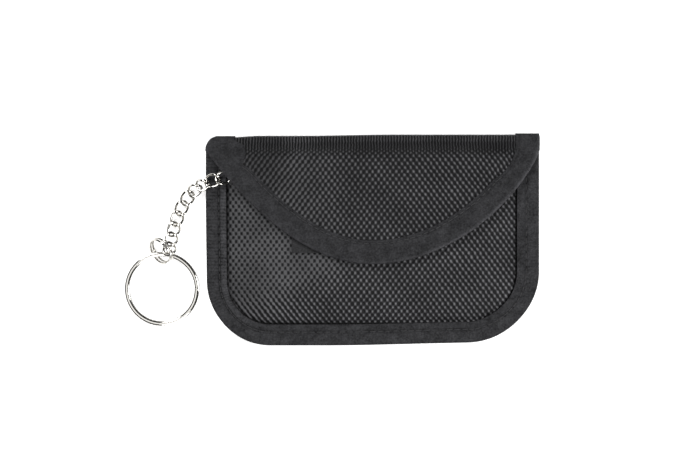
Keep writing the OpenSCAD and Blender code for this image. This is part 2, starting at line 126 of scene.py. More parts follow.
# Weave of the nylon, and ribs of the tape, drawn coarser than real so that they show
BEAD_ACROSS = 2.34
BEAD_DOWN = 1.57
RIB_PITCH = 1.4

# Touch fastener: the middle, width, height and lowest y of each strip
LOOP_STRIP = (-4.5, 56, 22, -5)
HOOK_STRIP = (-1, 46, 11, 7.6)
LOOP_T = 0.9
LOOP_PAD_T = 0.78
HOOK_PAD_T = 0.35
HOOK_PAD_DROP = 0.5

# Chain and rings
CHAIN_START = Vector((-57.6, 25.6, 6.6))
CHAIN_PITCH = 4.7
CHAIN_WIRE = 1.05
LINK_HALF_W = 2.35
LINK_HALF_L = (CHAIN_PITCH + CHAIN_WIRE + 0.4) / 2
LINK_HEADING = [190, 196, 206, 220, 235, 244, 252, 258, 262, 262]
LINK_RISE = [0, -5, -32, -26.5, 0, 0, 10, 24, 32, 36]
LINK_ROLL = [0, 0, -25, -12, 0, 0, 0, 0, 0, 0]
LINK_TWIST = [0.4] + [0.9] * 9
TAB_W = 1.4
TAB_T = 0.25
TAB_EYE_R = 1.05
CONNECTOR_R = 5.2
CONNECTOR_WIRE = 0.9
CONNECTOR_STEP = 1.35
CONNECTOR_HEADING = -54
CONNECTOR_TILT = 55
CONNECTOR_HOLD = 60
CONNECTOR_SLACK = 0.9
KEY_R = 14.1
KEY_WIRE = (1.8, 0.8)
KEY_STEP = 1.25
KEY_HOLD = -2
KEY_SIDE = 1
KEY_FLOOR_GAP = 0.1
KEY_TANGENT = 2
# The key ring's wire is drawn a little flatter than its solid
KEY_DRAWN = 0.98


def clamp(v, low=0.0, high=1.0):
    return min(max(v, low), high)


def smooth(v):
    t = clamp(v)
    return t * t * (3 - 2 * t)


def mix(a, b, t):
    return a + (b - a) * t


# Heights of the cloth, as in the part's source
def seam_distance(x, y):
    r = CORNER_LEFT if x < 0 else CORNER_RIGHT
    across = r - (HALF_W - abs(x))
    down = r - (y - BOTTOM_Y)
    if across > 0 and down > 0:
        return r - math.hypot(across, down)
    return min(HALF_W - abs(x), y - BOTTOM_Y)


def swell(s, width):
    return 1 - (1 - clamp((s - SEAM_W) / width)) ** 2


def back_z(x, y):
    """The back's outer face: on the table, but raised over the tape at the seam, and at the fold."""
    at_seam = 1 - smooth((seam_distance(x, y) - EDGE_TAPE_W) / BACK_RISE_W)
    at_fold = smooth(1 - (CLOTH_END_Y - y) / FOLD_RISE_W)
    return SEAM_BACK_Z * max(at_seam, at_fold)


def front_z(x, y):
    return mix(SEAM_FRONT_Z, CROWN_Z, swell(seam_distance(x, y), FRONT_RISE_W))


def divider_z(x, y):
    return back_z(x, y) + CLOTH_T + LAY_GAP + SLIP_GAP * swell(seam_distance(x, y), SLIP_RISE_W)


def flap_edge_y(x):
    bow = 1 - clamp(abs(x) / HALF_W) ** 2
    return FLAP_END_Y + (FLAP_TIP_Y - FLAP_END_Y) * bow ** (BOW_LEFT if x < 0 else BOW_RIGHT)


def link_lift(x, y):
    return LIFT_H * math.exp(-((x - LIFT_X) ** 2 + (y - LIFT_Y) ** 2) / LIFT_SPREAD)


def flap_z(x, y):
    """The flap's inner face: over the front with a gap, then down to the fold."""
    gap = mix(GAP_AT_FOLD, GAP_AT_FASTENER, smooth((MOUTH_Y + 1 - y) / GAP_RUN))
    over_front = mix(SEAM_FRONT_Z, CROWN_Z, swell(HALF_W - abs(x), FRONT_RISE_W)) + gap + link_lift(x, y)
    turn_y = MOUTH_Y + 1.5
    return mix(over_front, FLAP_ROOT_Z, smooth((y - turn_y) / (CLOTH_END_Y - turn_y)))


def offset_y(x, s):
    """Height up the page of the lower edge, s inside the pouch's outline."""
    r = CORNER_LEFT if x < 0 else CORNER_RIGHT
    across = r - (HALF_W - abs(x))
    inner = r - s
    if across > 0:
        return BOTTOM_Y + r - math.sqrt(max(0, inner * inner - across * across))
    return BOTTOM_Y + s


def settle(x, y):
    """The sewn pouch isn't quite square: its lower edge climbs to the right and sags, the left side leans in,
    both sides spread, the fold rises a little to the right, and its left end is rounded off."""
    climb = CLIMB * smooth((x + 20) / 70) * smooth((5 - y) / 45)
    sag = SAG * smooth((-30 - y) / 12)
    lean = LEAN * smooth((20 - y) / 50) * smooth(-x / 60)
    spread = SPREAD * (x / HALF_W) ** 3
    at_fold = smooth((y - 30) / 12)
    rise = (0.3 + 0.5 * smooth((x + 30) / 40) - 0.6 * smooth((-45 - x) / 12)) * at_fold
    reach = clamp(y - FOLD_TOP_Y + FOLD_CORNER_R, 0, FOLD_CORNER_R)
    pull = FOLD_CORNER_R - math.sqrt(FOLD_CORNER_R ** 2 - reach ** 2)
    return x + lean + spread + pull * clamp((-54 - x) / 13), y + climb + rise - sag


def fold_point(angle, out):
    """Height up the page and off the table, at an angle round from the fold's middle, out from the middle of
    the cloth's thickness."""
    turn = math.radians(angle)
    return HINGE_Y + (FOLD_BULGE + out) * math.cos(turn), FOLD_MID_Z + (FOLD_HALF_Z + out) * math.sin(turn)


# Making pieces
def deselect():
    for piece in bpy.context.selected_objects:
        piece.select_set(False)


def select_only(piece):
    deselect()
    piece.select_set(True)
    bpy.context.view_layer.objects.active = piece


def grid(name, columns, rows, place):
    """A plane grid, each point of it moved to place(u, v), where u and v run from 0 to 1."""
    deselect()
    bpy.ops.mesh.primitive_grid_add(x_subdivisions=columns, y_subdivisions=rows, size=2)
    piece = bpy.context.object
    piece.name = name
    for vertex in piece.data.vertices:
        vertex.co = Vector(place((vertex.co.x + 1) / 2, (vertex.co.y + 1) / 2)) * MM
    piece.data.update()
    return piece


def keep(piece, name, values):
    """Stores one vector for each point, for the materials to read."""
    attribute = piece.data.attributes.new(name, "FLOAT_VECTOR", "POINT")
    for item, value in zip(attribute.data, values):
        item.vector = value


def use(piece, kind, **settings):
    """Adds one modifier and applies it."""
    select_only(piece)
    modifier = piece.modifiers.new(kind.title(), kind)
    for key, value in settings.items():
        setattr(modifier, key, value)
    bpy.ops.object.modifier_apply(modifier=modifier.name)


def smooth_shade(piece, degrees=40):
    select_only(piece)
    bpy.ops.object.shade_smooth_by_angle(angle=math.radians(degrees))


def turn_out(piece):
    """Points the faces of a closed piece outwards."""
    select_only(piece)
    bpy.ops.object.mode_set(mode="EDIT")
    bpy.ops.mesh.select_all(action="SELECT")
    bpy.ops.mesh.normals_make_consistent(inside=False)
    bpy.ops.object.mode_set(mode="OBJECT")


def finish_piece(piece, body, material, slot, *nodes, into=None, across=None):
    """Gives a piece its material and the body it rides on, and hides the nodes that it stands for. A piece
    that goes into the fold is left in place, not bent; the two points it would bend between are not used."""
    piece.data.materials.clear()
    piece.data.materials.append(material)
    if into:
        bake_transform(piece)
    else:
        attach(piece, body)
    if nodes:
        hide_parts(*nodes)
    return piece


def join_copies(name, model, places):
    """One mesh of many copies of a small model, each put in its place."""
    copies = []
    for i, place in enumerate(places):
        copy = bpy.data.objects.new(f"{name}_{i}", model.data.copy())
        copy.data.transform(place)
        bpy.context.collection.objects.link(copy)
        copies.append(copy)
    bpy.data.objects.remove(model)
    deselect()
    for copy in copies:
        copy.select_set(True)
    bpy.context.view_layer.objects.active = copies[0]
    bpy.ops.object.join()
    piece = bpy.context.object
    piece.name = name
    return piece


# Where the cloth bends over each hinge of the fold
BACK_BEND = (Vector((0, HINGE_Y - 0.8, BACK_HINGE_Z)) * MM, Vector((0, HINGE_Y + 0.4, BACK_HINGE_Z)) * MM)
FLAP_BEND = (Vector((0, HINGE_Y - 0.8, FLAP_HINGE_Z)) * MM, Vector((0, HINGE_Y + 0.4, FLAP_HINGE_Z)) * MM)


# Materials
def linear(code):
    """An sRGB hex colour as linear numbers with alpha."""
    parts = [int(code[i:i + 2], 16) / 255 for i in (1, 3, 5)]
    return tuple(c / 12.92 if c <= 0.04045 else ((c + 0.055) / 1.055) ** 2.4 for c in parts) + (1,)


def add(tree, kind, inputs=None, **settings):
    """Adds a node. An input takes a value, a socket, or a node, whose first output is used."""
    node = tree.nodes.new(kind)
    for key, value in settings.items():
        setattr(node, key, value)
    for key, value in (inputs or {}).items():
        if isinstance(value, bpy.types.Node):
            value = value.outputs[0]
        if isinstance(value, bpy.types.NodeSocket):
            tree.links.new(value, node.inputs[key])
        else:
            node.inputs[key].default_value = value
    return node


def new_material(name):
    material = bpy.data.materials.new(name)
    material.use_nodes = True
    tree = material.node_tree
    tree.nodes.clear()
    shader = add(tree, "ShaderNodeBsdfPrincipled")
    add(tree, "ShaderNodeOutputMaterial", {"Surface": shader})
    return material, tree, shader


def woven_nylon():
    """Ballistic nylon, plain woven of thick black filament yarns. The yarns come up as beads in staggered
    rows, painted grey as a highlight, with painted shade in the dark gaps between. Where the painted light
    shift is high, the beads show as a pale mesh with upright dark gaps."""
    material, tree, shader = new_material("ballistic_nylon_woven")
    cloth = add(tree, "ShaderNodeAttribute", attribute_name="cloth_mm").outputs["Vector"]
    look = add(tree, "ShaderNodeAttribute", attribute_name="cloth_look").outputs["Vector"]
    # The look's parts: the slant of the rows, the painted light shift (pull) and the painted shade (seam)
    slant, pull, seam = add(tree, "ShaderNodeSeparateXYZ", {0: look}).outputs
    rolled = add(tree, "ShaderNodeSeparateXYZ", {0: cloth}).outputs[2]

    # The place on the cloth as angles of the weave, moved a little so that no row is quite straight
    stray = add(tree, "ShaderNodeTexNoise", {"Vector": cloth, "Scale": 0.35, "Detail": 3}).outputs["Color"]
    stray = add(tree, "ShaderNodeVectorMath", {0: stray, 1: (0.5, 0.5, 0.5)}, operation="SUBTRACT")
    stray = add(tree, "ShaderNodeVectorMath", {0: stray, "Scale": 0.9}, operation="SCALE")
    lie = add(tree, "ShaderNodeVectorMath", {0: cloth, 1: stray}, operation="ADD")
    per_mm = (2 * math.pi / BEAD_ACROSS, math.pi / BEAD_DOWN, 0)
    lie = add(tree, "ShaderNodeVectorMath", {0: lie, 1: per_mm}, operation="MULTIPLY")
    across, down, _ = add(tree, "ShaderNodeSeparateXYZ", {0: lie}).outputs

    # Two slanting sets of crests, whose sum is the staggered beads
    falling = add(tree, "ShaderNodeMath", {0: across, 1: down}, operation="ADD")
    falling = add(tree, "ShaderNodeMath", {0: falling}, operation="COSINE")
    rising = add(tree, "ShaderNodeMath", {0: across, 1: down}, operation="SUBTRACT")
    rising = add(tree, "ShaderNodeMath", {0: rising}, operation="COSINE")
    both = add(tree, "ShaderNodeMath", {0: falling, 1: rising}, operation="ADD")
    apart = add(tree, "ShaderNodeMath", {0: falling, 1: rising}, operation="SUBTRACT")
    crests = add(tree, "ShaderNodeMath", {0: apart, 1: slant, 2: both}, operation="MULTIPLY_ADD")
    beads = add(tree, "ShaderNodeMath", {0: crests, 1: 0.25, 2: 0.5}, operation="MULTIPLY_ADD")

    # Seen steeply, where the flap rolls over, the upright yarns hide the rows and show as streaks
    yarns = add(tree, "ShaderNodeMath", {0: across, 1: 2}, operation="MULTIPLY")
    yarns = add(tree, "ShaderNodeMath", {0: yarns}, operation="COSINE")
    yarns = add(tree, "ShaderNodeMath", {0: yarns, 1: 0.3, 2: 0.45}, operation="MULTIPLY_ADD")
    height = add(tree, "ShaderNodeMix", {0: rolled, 2: beads, 3: yarns})

    # Filaments, drawn coarser than real so that they show
    drawn = add(tree, "ShaderNodeVectorMath", {0: cloth, 1: (1, 6, 1)}, operation="MULTIPLY")
    streaks = add(tree, "ShaderNodeTexNoise", {"Vector": drawn, "Scale": 1.4, "Detail": 3})
    relief = add(tree, "ShaderNodeMath", {0: streaks, 1: 0.18, 2: height}, operation="MULTIPLY_ADD")
    bump = add(tree, "ShaderNodeBump", {"Height": relief, "Distance": 0.4 * MM, "Strength": 1.0})

    # Painted shade, black, in the gaps, and a painted highlight, grey, on the beads of the black yarn.
    # A high painted light shift makes the gaps smaller and the beads duller.
    lowest = add(tree, "ShaderNodeMapRange", {0: pull, 3: 0.34, 4: 0.04})
    highest = add(tree, "ShaderNodeMapRange", {0: pull, 3: 0.98, 4: 0.62})
    level = add(tree, "ShaderNodeMapRange", {0: height, 1: lowest, 2: highest})
    tone = add(tree, "ShaderNodeValToRGB", {0: level})
    tone.color_ramp.elements[0].position = 0.0
    tone.color_ramp.elements[0].color = linear("#151516")
    tone.color_ramp.elements[1].position = 1.0
    tone.color_ramp.elements[1].color = linear("#666668")
    between = tone.color_ramp.elements.new(0.5)
    between.color = linear("#363638")

    # Broad patches of handling, dimming by the painted light shift, and painted shade beside the tape,
    # over the flap, most in its upper left, and where the flap rolls over
    handled = add(tree, "ShaderNodeTexNoise", {"Vector": cloth, "Scale": 0.07, "Detail": 5})
    handled = add(tree, "ShaderNodeMapRange", {0: handled, 1: 0.3, 2: 0.7, 3: 0.7, 4: 1.15})
    painted_light_shift = add(tree, "ShaderNodeMapRange", {0: pull, 3: 1.0, 4: 0.55})
    unlit = add(tree, "ShaderNodeMapRange", {0: seam, 3: 1.0, 4: 0.12})
    shade = add(tree, "ShaderNodeMath", {0: handled, 1: painted_light_shift}, operation="MULTIPLY")
    shade = add(tree, "ShaderNodeMath", {0: shade, 1: unlit}, operation="MULTIPLY")
    colour = add(tree, "ShaderNodeVectorMath", {0: tone, "Scale": shade}, operation="SCALE")
    tree.links.new(colour.outputs[0], shader.inputs["Base Color"])
    tree.links.new(bump.outputs[0], shader.inputs["Normal"])
    shader.inputs["Roughness"].default_value = 0.4
    shader.inputs["Specular IOR Level"].default_value = 0.08
    return material


def binding_tape(name, pale):
    """Polyester binding tape, woven narrow with fine ribs across it: matt charcoal, a little paler where
    fluff has caught on it and along its worn edge. Stitching sinks into it, with painted shade along the
    stitch line."""
    material, tree, shader = new_material(name)
    lie = add(tree, "ShaderNodeAttribute", attribute_name="tape_mm").outputs["Vector"]
    look = add(tree, "ShaderNodeAttribute", attribute_name="tape_look").outputs["Vector"]
    ribbed, sunk, worn = add(tree, "ShaderNodeSeparateXYZ", {0: look}).outputs

    # Ribs, which wander a little along the tape
    along = add(tree, "ShaderNodeSeparateXYZ", {0: lie}).outputs[0]
    stray = add(tree, "ShaderNodeTexNoise", {"Vector": lie, "Scale": 0.8, "Detail": 3})
    drift = add(tree, "ShaderNodeMath", {0: stray, 1: 0.9, 2: along}, operation="MULTIPLY_ADD")
    turn = add(tree, "ShaderNodeMath", {0: drift, 1: 2 * math.pi / RIB_PITCH}, operation="MULTIPLY")
    rib = add(tree, "ShaderNodeMath", {0: turn}, operation="SINE")
    rib = add(tree, "ShaderNodeMath", {0: rib, 1: ribbed}, operation="MULTIPLY")

    # Fibre ends as a fine grain, and broad patches where the nap lies over
    where = add(tree, "ShaderNodeTexCoord").outputs["Object"]
    grain = add(tree, "ShaderNodeTexNoise", {"Vector": where, "Scale": 1300, "Detail": 3, "Roughness": 0.65})
    mottle = add(tree, "ShaderNodeTexNoise", {"Vector": where, "Scale": 240, "Detail": 5, "Roughness": 0.7})
    relief = add(tree, "ShaderNodeMath", {0: grain, 1: 1.1, 2: rib}, operation="MULTIPLY_ADD")
    bump = add(tree, "ShaderNodeBump", {"Height": relief, "Distance": 0.14 * MM, "Strength": 1.0})

    both = add(tree, "ShaderNodeMath", {0: grain, 1: mottle}, operation="ADD")
    level = add(tree, "ShaderNodeMath", {0: rib, 1: 0.12, 2: both}, operation="MULTIPLY_ADD")
    level = add(tree, "ShaderNodeMath", {0: level, 1: 0.5}, operation="MULTIPLY")
    tone = add(tree, "ShaderNodeValToRGB", {0: level})
    tone.color_ramp.elements[0].position = 0.34
    tone.color_ramp.elements[0].color = linear("#161617")
    tone.color_ramp.elements[1].position = 0.68
    tone.color_ramp.elements[1].color = linear(pale)
    # Painted shade darkens the tape along its sunk stitch line
    painted_stitch_shade = add(tree, "ShaderNodeMath", {0: sunk, 1: -0.8, 2: 1.0}, operation="MULTIPLY_ADD")
    paler = add(tree, "ShaderNodeMath", {0: worn, 1: 1.4, 2: 1.0}, operation="MULTIPLY_ADD")
    shade = add(tree, "ShaderNodeMath", {0: painted_stitch_shade, 1: paler}, operation="MULTIPLY")
    colour = add(tree, "ShaderNodeVectorMath", {0: tone, "Scale": shade}, operation="SCALE")
    tree.links.new(colour.outputs[0], shader.inputs["Base Color"])
    tree.links.new(bump.outputs[0], shader.inputs["Normal"])
    shader.inputs["Roughness"].default_value = 0.9
    shader.inputs["Specular IOR Level"].default_value = 0.08
    return material


def plain_cloth(name, dark, pale, scale, roughness, metallic=0.0):
    """A thin close-woven cloth, whose threads are too fine to count: a soft mottle and a fine grain."""
    material, tree, shader = new_material(name)
    where = add(tree, "ShaderNodeTexCoord").outputs["Object"]
    grain = add(tree, "ShaderNodeTexNoise", {"Vector": where, "Scale": scale, "Detail": 4})
    tone = add(tree, "ShaderNodeValToRGB", {0: grain})
    tone.color_ramp.elements[0].position = 0.35
    tone.color_ramp.elements[0].color = linear(dark)
    tone.color_ramp.elements[1].position = 0.7
    tone.color_ramp.elements[1].color = linear(pale)
    bump = add(tree, "ShaderNodeBump", {"Height": grain, "Distance": 0.1 * MM, "Strength": 0.6})
    tree.links.new(tone.outputs[0], shader.inputs["Base Color"])
    tree.links.new(bump.outputs[0], shader.inputs["Normal"])
    shader.inputs["Roughness"].default_value = roughness
    shader.inputs["Metallic"].default_value = metallic
    return material


def nickel_plate():
    """Steel wire, drawn and bright nickel plated: a warm mirror with faint drawing marks and a haze from
    handling."""
    material, tree, shader = new_material("steel_wire_nickel_plated")
    where = add(tree, "ShaderNodeTexCoord").outputs["Object"]
    marks = add(tree, "ShaderNodeTexNoise", {"Vector": where, "Scale": 700, "Detail": 3})
    haze = add(tree, "ShaderNodeMapRange", {0: marks, 1: 0.3, 2: 0.7, 3: 0.05, 4: 0.14})
    bump = add(tree, "ShaderNodeBump", {"Height": marks, "Distance": 0.012 * MM, "Strength": 0.3})
    tree.links.new(haze.outputs[0], shader.inputs["Roughness"])
    tree.links.new(bump.outputs[0], shader.inputs["Normal"])
    shader.inputs["Base Color"].default_value = linear("#c6c4bf")
    shader.inputs["Metallic"].default_value = 1
    return material


NYLON = woven_nylon()
EDGE_TAPE = binding_tape("polyester_tape_ribbed", "#3e3e40")
FLAP_TAPE = binding_tape("polyester_tape_smooth", "#3a3a3c")
SHIELD = plain_cloth("copper_nickel_shield_cloth", "#7d7c78", "#a3a29d", 1800, 0.45, metallic=0.6)
LINING = plain_cloth("polyester_lining_plain", "#18181a", "#242427", 2200, 0.7)
LOOP_PILE = plain_cloth("nylon_loop_pile", "#131314", "#2a2a2c", 1600, 0.95)
HOOK_TAPE = plain_cloth("nylon_hook_moulded", "#121213", "#1f1f21", 900, 0.5)
THREAD = plain_cloth("polyester_thread_twisted", "#141415", "#2f2f31", 3000, 0.6)
NICKEL = nickel_plate()


# Cloth layers of the pouch, and how many faces they have across, up the pouch, up the flap and round the fold
COLUMNS = 132
POUCH_ROWS = 78
FLAP_ROWS = 60
ARC_ROWS = 12


def rolling(y):
    """How far the flap has rolled over towards the fold."""
    return smooth((y - ROLL_Y) / ROLL_RUN)


def not_rolling(y):
    return 0


def lay_cloth(piece, columns, look, roll=not_rolling):
    """Keeps each point's place on the cloth, in mm down from its top edge, and how the cloth looks there. The
    rows crowd together where it rolls over."""
    points = [vertex.co / MM for vertex in piece.data.vertices]
    row = columns + 1
    down = [0.0] * len(points)
    for i in range(len(points) - row - 1, -1, -1):
        step = (points[i + row] - points[i]).yz.length
        down[i] = down[i + row] + step * (1 + roll(points[i].y))
    keep(piece, "cloth_mm", [(point.x, -drop, roll(point.y)) for point, drop in zip(points, down)])
    keep(piece, "cloth_look", [look(point.x, point.y) for point in points])


def flat_look(x, y):
    """How the cloth looks at a point: the slant of its rows, how far painted light turns its beads
    to a pale mesh, and how much painted shade it has.
    """
    return 0, 0.3, 0


def front_look(x, y):
    """Painted light turns the beads to a pale mesh on the left, but not at the right and along the bottom,
    where the rows slant. Painted shade beside the tape."""
    slant = 0.55 * smooth((-16 - y) / 14) * smooth(-x / 40) + 0.3 * smooth((x - 10) / 30)
    painted_light_shift = smooth((y + 30 - 0.5 * (x + 30)) / 20)
    # Painted shade on the cloth beside the tape's inner edge
    beside = 1 - smooth((seam_distance(x, y) - edge_shown(x) - 0.5) / 0.5)
    return slant, painted_light_shift, beside


def flap_look(x, y):
    """Slanting one way at the left and the other at the right, with the least painted light shift at the
    right.
    Painted shade darkens all of it a little, its upper left most, and where it rolls over, stopping below
    the fold's top line, which is left paler."""
    slant = 0.3 * smooth(x / 30) - 0.3 * smooth((-15 - x) / 20)
    painted_light_shift = 0.5 * smooth((5 - x) / 40)
    # Painted shade: where the flap rolls over, up to the fold's top line; over its upper left; a little all
    # over
    rolled = 0.45 * rolling(y) * (1 - smooth((y - 39.4) / 1.2))
    painted_corner_shade = 0.6 * smooth((-24 - x) / 16) * smooth((y - 8) / 14)
    painted_flap_shade = 0.2 + 0.08 * smooth((10 - x) / 20)
    return slant, painted_light_shift, max(rolled, painted_corner_shade, painted_flap_shade)


def cloth_layer(name, top_y, outer, thickness, material, slot, nodes, inward, fineness=1.0, look=flat_look,
                over_fold=False):
    """One layer of the front or back: a grid with its lower corners rounded, given its thickness inwards. The
    back's layers go on to the middle of the fold."""
    columns = int(COLUMNS * fineness)
    flat_rows = int(POUCH_ROWS * fineness)
    rows = flat_rows + (ARC_ROWS if over_fold else 0)
    reach = HALF_W - CLOTH_EDGE

    def place(u, v):
        row = v * rows
        x = mix(-reach, reach, u)
        if row > flat_rows + 0.5:
            out = BACK_HINGE_Z - outer(x, HINGE_Y)
            y, z = fold_point(-90 * (1 - (row - flat_rows) / ARC_ROWS), out)
            return *settle(x, y), z
        y = mix(offset_y(x, CLOTH_EDGE), top_y, row / flat_rows)
        return *settle(x, y), outer(x, y)

    piece = grid(name, columns, rows, place)
    lay_cloth(piece, columns, look)
    use(piece, "SOLIDIFY", thickness=thickness * MM, offset=-1 if inward < 0 else 1)
    if inward > 0:
        turn_out(piece)
    smooth_shade(piece)
    if over_fold:
        return finish_piece(piece, "pouch", material, slot, *nodes, into="fold", across=BACK_BEND)
    return finish_piece(piece, "pouch", material, slot, *nodes)


def make_back():
    cloth_layer("back_cloth", HINGE_Y, back_z, NYLON_T, NYLON,
                "ballistic_nylon", ["back_panel", "fold_panel"], 1, over_fold=True)
    cloth_layer("back_shield_cloth", HINGE_Y, lambda x, y: back_z(x, y) + NYLON_T, SHIELD_T, SHIELD,
                "shield_cloth", ["back_shield"], 1, 0.5, over_fold=True)
    cloth_layer("back_lining_cloth", HINGE_Y, lambda x, y: back_z(x, y) + NYLON_T + SHIELD_T, LINING_T,
                LINING, "lining", ["back_lining", "fold_lining"], 1, 0.5, over_fold=True)


def make_divider():
    cloth_layer("divider_cloth", DIVIDER_Y, divider_z, DIVIDER_T, SHIELD,
                "shield_cloth", ["divider_panel"], 1, 0.5)


def front_dip(x, y):
    """The front, sunk beside the inner edge of its tape."""
    return front_z(x, y) - 0.6 * math.exp(-((seam_distance(x, y) - EDGE_TAPE_W) / 0.6) ** 2)


def make_front():
    cloth_layer("front_lining_cloth", MOUTH_Y, lambda x, y: front_dip(x, y) - NYLON_T - SHIELD_T, LINING_T,
                LINING, "lining", ["front_lining"], -1, 0.5)
    cloth_layer("front_shield_cloth", MOUTH_Y, lambda x, y: front_dip(x, y) - NYLON_T, SHIELD_T, SHIELD,
                "shield_cloth", ["front_shield"], -1, 0.5)
    cloth_layer("front_cloth", MOUTH_Y, front_dip, NYLON_T, NYLON, "ballistic_nylon", ["front_panel"], -1, 2,
                front_look)


# Tapes
def tape_strip(name, stations, section, lay, look, thickness, material, body, *nodes, into=None, across=None):
    """A folded tape. A station is (x, y, inward x, inward y, length so far, ...). There, section gives the
    tape's points as (in, off), lay puts each of them in its place, and look says how the tape looks."""
    shapes = [section(station) for station in stations]
    count = len(shapes[0])
    columns = len(stations)

    def place(u, v):
        i = min(int(round(u * (columns - 1))), columns - 1)
        j = min(int(round(v * (count - 1))), count - 1)
        return lay(stations[i], *shapes[i][j])

    piece = grid(name, columns - 1, count - 1, place)
    spots = []
    for i in range(len(piece.data.vertices)):
        j, k = divmod(i, columns)
        spots.append((stations[k], shapes[k][j]))
    keep(piece, "tape_mm", [(station[4], point[0], 0) for station, point in spots])
    keep(piece, "tape_look", [look(station, point[0]) for station, point in spots])
    use(piece, "SOLIDIFY", thickness=(thickness - TAPE_SEAM_GAP) * MM, offset=0)
    turn_out(piece)
    smooth_shade(piece, 60)
    return finish_piece(piece, body, material, "binding_tape", *nodes, into=into, across=across)


def lay_flat(station, inward, height):
    """A point of a tape that is folded round an edge of the pouch."""
    return *settle(station[0] + station[2] * inward, station[1] + station[3] * inward), height


def plain_look(station, inward):
    """How a tape looks at a point: how ribbed it is, how much painted shade darkens its stitch line, and how
    worn it is.
    """
    return 0.3, 0, 0


def measured(spots, least=0):
    """Stations made of spots (x, y, inward x, inward y, ...), with the length so far put in fifth."""
    stations = []
    length = 0
    for i, spot in enumerate(spots):
        if i:
            before = spots[i - 1]
            length += max(math.hypot(spot[0] - before[0], spot[1] - before[1]), least)
        stations.append((*spot[:4], length, *spot[4:]))
    return stations


def round_corner(centre_x, radius, start, step):
    """Spots round a lower corner, a quarter turn on from the angle start."""
    spots = []
    turns = int(radius * math.pi / 2 / step)
    for i in range(turns + 1):
        a = start + math.pi / 2 * i / turns
        x = centre_x + radius * math.cos(a)
        y = BOTTOM_Y + radius * (1 + math.sin(a))
        spots.append((x, y, -math.cos(a), -math.sin(a)))
    return spots


def edge_path(start_y, step):
    """Stations down the left side, round the corners and up the right side."""
    left_x = -HALF_W + CORNER_LEFT
    right_x = HALF_W - CORNER_RIGHT
    left_steps = int((start_y - BOTTOM_Y - CORNER_LEFT) / step)
    base_steps = int((right_x - left_x) / step)
    right_steps = int((start_y - BOTTOM_Y - CORNER_RIGHT) / step)
    spots = [(-HALF_W, start_y - i * step, 1, 0) for i in range(left_steps)]
    spots += round_corner(left_x, CORNER_LEFT, math.pi, step)
    spots += [(mix(left_x, right_x, i / base_steps), BOTTOM_Y, 0, 1) for i in range(1, base_steps)]
    spots += round_corner(right_x, CORNER_RIGHT, -math.pi / 2, step)
    spots += [(HALF_W, start_y - i * step, -1, 0) for i in range(right_steps, -1, -1)]
    return measured(spots)


def line_at(distance, line, width):
    """1 on a line, falling to 0 about width to either side."""
    return math.exp(-((distance - line) / width) ** 2)


def edge_shown(x):
    """How far in the edge tape reaches over the front."""
    return mix(EDGE_SHOWN_LEFT, EDGE_SHOWN_RIGHT, smooth((x - 40) / 20))


def puckered(x, y):
    """How much the edge tape puckers: only where it turns the lower left corner."""
    return smooth((-24 - x) / 20) * smooth((-22 - y) / 10)


def edge_look(station, inward):
    """Strong ribs on the left side, where the tape inside the stitching is paler. Where it puckers, the ribs
    are drawn out of it."""
    x, y = station[:2]
    left = smooth((-48 - x) / 12)
    pale = 0.35 * left * smooth((inward - 5.6) / 0.6)
    ribs = mix(0.12, 0.6, left * (1 - puckered(x, y)))
    # The middle part is painted shade along the stitch line
    return ribs, mix(0.4, 1, left) * line_at(inward, EDGE_STITCH_IN, 0.5), pale


def groove(distance, along, line):
    """How far a stitch line pulls the tape down: deepest at the needle holes."""
    hole = 0.5 + 0.5 * math.cos(2 * math.pi * along / STITCH_PITCH)
    return (0.22 + 0.2 * hole) * line_at(distance, line, 0.55)


def edge_section(station):
    """Tape over the front, round the edge and along the back, with more points near the stitching."""
    x, y = station[:2]
    along = station[4]
    half_tape = TAPE_T / 2
    fall = 1 - smooth((y - MOUTH_Y - 0.5) / 6)
    pucker = 0.07 + 0.18 * puckered(x, y)
    points = []
    for s in (edge_shown(x), 8, 7.6, 7, 6.4, 6, 5.7, 5.4, 5.1, 4.8, 4.4, 3.8, 3, 2.2, 1.4, 0.9):
        front = mix(SEAM_FRONT_Z, CROWN_Z, swell(s, FRONT_RISE_W) * fall)
        ripple = pucker * math.sin(2 * math.pi * along / 2.3) * smooth((EDGE_STITCH_IN - s) / 2)
        points.append((s, front + half_tape + LAY_GAP - groove(s, along, EDGE_STITCH_IN) + ripple))
    middle = (SEAM_FRONT_Z + SEAM_BACK_Z) / 2
    half = (SEAM_FRONT_Z - SEAM_BACK_Z) / 2 + half_tape
    for degrees in (60, 30, 0, -30, -60):
        a = math.radians(degrees)
        points.append((0.85 - 0.6 * math.cos(a), middle + half * math.sin(a)))
    for s in (0.9, 2, 4, 4.8, 5.3, 5.8, 7, EDGE_TAPE_W):
        points.append((s, SEAM_BACK_Z - half_tape + 0.5 * groove(s, along, EDGE_STITCH_IN)))
    return points


def make_edge_tape():
    stations = edge_path(CLOTH_END_Y - 0.5, 1.0)
    tape_strip("edge_tape", stations, edge_section, lay_flat, edge_look, TAPE_T, EDGE_TAPE, "pouch",
               "edge_binding")
    front = mix(SEAM_FRONT_Z, CROWN_Z, swell(EDGE_STITCH_IN, FRONT_RISE_W)) + TAPE_T
    back = SEAM_BACK_Z + 0.1
    stitch_row("edge_stitching", [(station, front) for station in stations], EDGE_STITCH_IN, "pouch")
    stitch_row("edge_stitching_back", [(station, back) for station in stations], EDGE_STITCH_IN, "pouch")


def stitch_model(name):
    deselect()
    bpy.ops.mesh.primitive_uv_sphere_add(segments=8, ring_count=6, radius=1)
    model = bpy.context.object
    model.name = name
    for vertex in model.data.vertices:
        v = vertex.co
        vertex.co = Vector((v.x * STITCH_L / 2, v.y * STITCH_W / 2, v.z * STITCH_W / 2)) * MM
    smooth_shade(model, 80)
    return model


